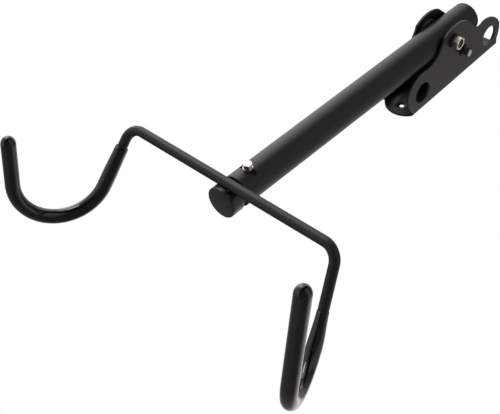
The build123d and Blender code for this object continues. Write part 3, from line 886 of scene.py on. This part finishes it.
class WALLRACK_OT_head(bpy.types.Operator):
    """Make the turning head: its tube, end cap and tilt bolt"""

    bl_idname = "wallrack.head"
    bl_label = "Turning Head"

    parts = (
        # node, piece, finish, slot, rounding in millimetres
        ("head_tube", "head_tube_body", "powder_coat", "powder_coat", 0.3),
        ("tilt_bolt", "tilt_bolt_body", "yellow_plate", "bright_zinc", 0.5),
        ("tilt_washer", "tilt_washer_ring", "bright_plate", "bright_zinc", 0.25),
        ("tilt_nut", "tilt_nut_body", "bright_plate", "bright_zinc", 0.3),
    )

    def execute(self, context):
        for node, name, finish, slot, width in self.parts:
            declare(rounded_copy(node, name, finish, width), "head", slot, node)
        sizes = context.scene.wall_rack_sizes
        cap = carved(
            end_cap_mesh(sizes), notch_cutter_mesh(sizes), "end_cap_body", "cap_plastic"
        )
        declare(cap, "head", "cap_plastic", "end_cap")
        return {"FINISHED"}


class WALLRACK_OT_hooks(bpy.types.Operator):
    """Sweep the bent rod and its vinyl sleeves, and lay the weld beads"""

    bl_idname = "wallrack.hooks"
    bl_label = "Hooks"

    def execute(self, context):
        sizes = context.scene.wall_rack_sizes
        left = hook_lines(sizes, -1, sizes.left_lean, sizes.left_drop, sizes.left_tip)
        right = hook_lines(sizes, 1, sizes.right_lean, sizes.right_drop, sizes.right_tip)
        rod = run_tree(
            guide_curve("hook_rod_bar", rod_points(left, right)), swept_bar_tree(),
            Radius=sizes.rod_radius * MM, Sides=64, Finish=finish_for("powder_coat"),
        )
        declare(rod, "head", "powder_coat", "hook_rod")
        for side, hook, start, thin_start in (
            ("left", left, sizes.left_sleeve_start, 0.9),
            ("right", right, sizes.right_sleeve_start, 0.76),
        ):
            points, radii = sleeve_line(sizes, hook, start, thin_start)
            sleeve = run_tree(
                guide_curve(f"{side}_sleeve_skin", points, radii), swept_bar_tree(),
                Radius=sizes.sleeve_radius * MM, Sides=64, Finish=finish_for("dipped_vinyl"),
            )
            declare(sleeve, "head", "sleeve_vinyl", f"{side}_sleeve")
        half = sizes.weld_length / 2
        overlap = 0.6  # the beads' middles lie this far inside the rod's sides
        for name, side, radius in (("rear_weld_bead", -1, 1.9), ("front_weld_bead", 1, 1.3)):
            along = sizes.rod_station + side * (sizes.rod_radius - overlap)
            ends = [place(along, across, sizes.weld_height) for across in (-half, half)]
            bead = run_tree(
                guide_curve(name, ends), weld_bead_tree(),
                Ripples=14, Radius=radius * MM, Seed=4, Finish=finish_for("powder_coat"),
            )
            declare(bead, "head", "powder_coat", "rod_welds")
        return {"FINISHED"}


def area_light(name, location, target, width, height, power):
    """A rectangular light that faces a point."""
    data = bpy.data.lights.new(name, "AREA")
    data.shape = "RECTANGLE"
    data.size = width
    data.size_y = height
    data.energy = power
    light = link(data, name)
    light.location = location
    light.rotation_euler = (target - light.location).to_track_quat("-Z", "Y").to_euler()


# Brightness of the studio's walls by bearing in degrees, where 0 is straight out from the
# rack's wall and 90 is along +X: a large soft panel on the -X side, a black flag ahead, then
# plain grey.
WALL_PANELS = (
    (-180, 1.0), (-125, 0.8), (-100, 1.5), (-74, 2.9), (-52, 3.0), (-35, 2.3), (-19, 1.4),
    (-8, 0.75), (-4, 0.0), (21, 0.0), (24, 0.55), (80, 0.55), (105, 0.6), (130, 0.55),
    (150, 0.85), (180, 1.0),
)
# How the panels fade with height: the sine of the height angle and a share of their brightness.
HEIGHT_FADE = (
    (-1.0, 0.24), (-0.05, 0.26), (0.25, 0.9), (0.4, 1.0), (0.62, 1.0), (0.75, 0.35), (1.0, 0.6),
)
PANEL_PEAK = 3.2  # the brightness that the colour ramp's full scale stands for
PANEL_TINT = (1.0, 0.94, 0.985)
FLOOR_SIZE = 6
FLOOR_TONES = ((0.78, 0.78, 0.78), (0.82, 0.82, 0.82))


def fill_ramp(node, stops):
    """Sets a colour ramp's stops from (position, colour) pairs."""
    elements = node.color_ramp.elements
    while len(elements) > 1:
        elements.remove(elements[-1])
    for index, (position, tone) in enumerate(stops):
        stop = elements[0] if index == 0 else elements.new(position)
        stop.position = position
        stop.color = (*tone, 1)


def studio_world():
    """White behind the object; panels all round it, seen only in its reflections and light."""
    world = bpy.data.worlds.new("Studio")
    bpy.context.scene.world = world
    world.use_nodes = True
    nodes, links = world.node_tree.nodes, world.node_tree.links
    nodes.clear()
    coordinates = nodes.new("ShaderNodeTexCoord")
    axes = nodes.new("ShaderNodeSeparateXYZ")
    links.new(coordinates.outputs["Generated"], axes.inputs[0])
    outward = nodes.new("ShaderNodeMath")
    outward.operation = "MULTIPLY"
    outward.inputs[1].default_value = -1
    links.new(axes.outputs["Y"], outward.inputs[0])
    bearing = nodes.new("ShaderNodeMath")
    bearing.operation = "ARCTAN2"
    links.new(axes.outputs["X"], bearing.inputs[0])
    links.new(outward.outputs[0], bearing.inputs[1])
    turn = nodes.new("ShaderNodeMapRange")
    turn.inputs["From Min"].default_value = -math.pi
    turn.inputs["From Max"].default_value = math.pi
    links.new(bearing.outputs[0], turn.inputs["Value"])
    panels = nodes.new("ShaderNodeValToRGB")
    fill_ramp(panels, [
        ((degrees + 180) / 360, [channel * strength / PANEL_PEAK for channel in PANEL_TINT])
        for degrees, strength in WALL_PANELS
    ])
    links.new(turn.outputs["Result"], panels.inputs["Fac"])
    height = nodes.new("ShaderNodeMapRange")
    height.inputs["From Min"].default_value = -1
    links.new(axes.outputs["Z"], height.inputs["Value"])
    fade = nodes.new("ShaderNodeValToRGB")
    fill_ramp(fade, [((sine + 1) / 2, [share] * 3) for sine, share in HEIGHT_FADE])
    links.new(height.outputs["Result"], fade.inputs["Fac"])
    faded = nodes.new("ShaderNodeMix")
    faded.data_type = "RGBA"
    faded.blend_type = "MULTIPLY"
    factor, first_colour, second_colour = faded.inputs[0], faded.inputs[6], faded.inputs[7]
    factor.default_value = 1
    links.new(panels.outputs["Color"], first_colour)
    links.new(fade.outputs["Color"], second_colour)
    room = nodes.new("ShaderNodeBackground")
    room.inputs["Strength"].default_value = PANEL_PEAK
    links.new(faded.outputs[2], room.inputs["Color"])
    seen = nodes.new("ShaderNodeBackground")
    seen.inputs["Color"].default_value = (1, 1, 1, 1)
    path = nodes.new("ShaderNodeLightPath")
    mix = nodes.new("ShaderNodeMixShader")
    output = nodes.new("ShaderNodeOutputWorld")
    links.new(path.outputs["Is Camera Ray"], mix.inputs["Fac"])
    links.new(room.outputs[0], mix.inputs[1])
    links.new(seen.outputs[0], mix.inputs[2])
    links.new(mix.outputs[0], output.inputs["Surface"])


class WALLRACK_OT_stage(bpy.types.Operator):
    """Set the camera, the pale floor, the studio's walls and a strip light"""

    bl_idname = "wallrack.stage"
    bl_label = "Stage"

    def execute(self, context):
        stage = context.scene.wall_rack_stage
        camera_data = bpy.data.cameras.new("Camera")
        camera_data.lens = stage.camera_lens
        camera_data.sensor_width = 36
        camera = link(camera_data, "Camera")
        camera.location = stage.camera_place
        level = math.cos(stage.camera_pitch)
        sight = Vector((
            math.sin(stage.camera_heading) * level,
            math.cos(stage.camera_heading) * level,
            math.sin(stage.camera_pitch),
        ))
        roll = Quaternion((0, 0, 1), stage.camera_roll)
        camera.rotation_euler = (sight.to_track_quat("-Z", "Y") @ roll).to_euler()
        context.scene.camera = camera
        context.scene.view_settings.view_transform = "Standard"

        shape = bmesh.new()
        bmesh.ops.create_grid(shape, x_segments=1, y_segments=1, size=FLOOR_SIZE)
        floor_mesh = bpy.data.meshes.new("floor")
        shape.to_mesh(floor_mesh)
        shape.free()
        floor = link(floor_mesh, "floor")
        floor.location = (0, 0, stage.floor_height)
        floor.visible_glossy = False
        material, shader, vector = new_finish("pale_floor")
        vary_colour(material, shader, noise(material, vector, scale=3), *FLOOR_TONES)
        shader.inputs["Roughness"].default_value = 0.7
        floor_mesh.materials.append(material)

        studio_world()
        arm_middle = place(150, 0, 0)
        area_light(
            "strip box", location=Vector((-0.9, -1.5, -0.1)), target=arm_middle,
            width=0.12, height=0.9, power=5,
        )
        return {"FINISHED"}


class WALLRACK_PT_panel(bpy.types.Panel):
    """Sidebar panel of the wall rack's builders"""

    bl_idname = "WALLRACK_PT_panel"
    bl_label = "Wall Rack"
    bl_space_type = "VIEW_3D"
    bl_region_type = "UI"
    bl_category = "Wall Rack"

    def draw(self, context):
        for operator in OPERATORS:
            self.layout.operator(operator.bl_idname)


OPERATORS = (
    WALLRACK_OT_bracket,
    WALLRACK_OT_pivot,
    WALLRACK_OT_lock_pin,
    WALLRACK_OT_arm,
    WALLRACK_OT_head,
    WALLRACK_OT_hooks,
    WALLRACK_OT_stage,
)
GROUPS = (
    ("wall_rack_sizes", WallRackSizes),
    ("wall_rack_finishes", WallRackFinishes),
    ("wall_rack_stage", WallRackStage),
)


def register():
    for name, group in GROUPS:
        bpy.utils.register_class(group)
        setattr(bpy.types.Scene, name, PointerProperty(type=group))
    for part in (*OPERATORS, WALLRACK_PT_panel):
        bpy.utils.register_class(part)


def unregister():
    for part in (WALLRACK_PT_panel, *reversed(OPERATORS)):
        bpy.utils.unregister_class(part)
    for name, group in reversed(GROUPS):
        delattr(bpy.types.Scene, name)
        bpy.utils.unregister_class(group)


def main():
    register()
    for operator in OPERATORS:
        space, verb = operator.bl_idname.split(".")
        getattr(getattr(bpy.ops, space), verb)()


if __name__ == "__main__":
    main()
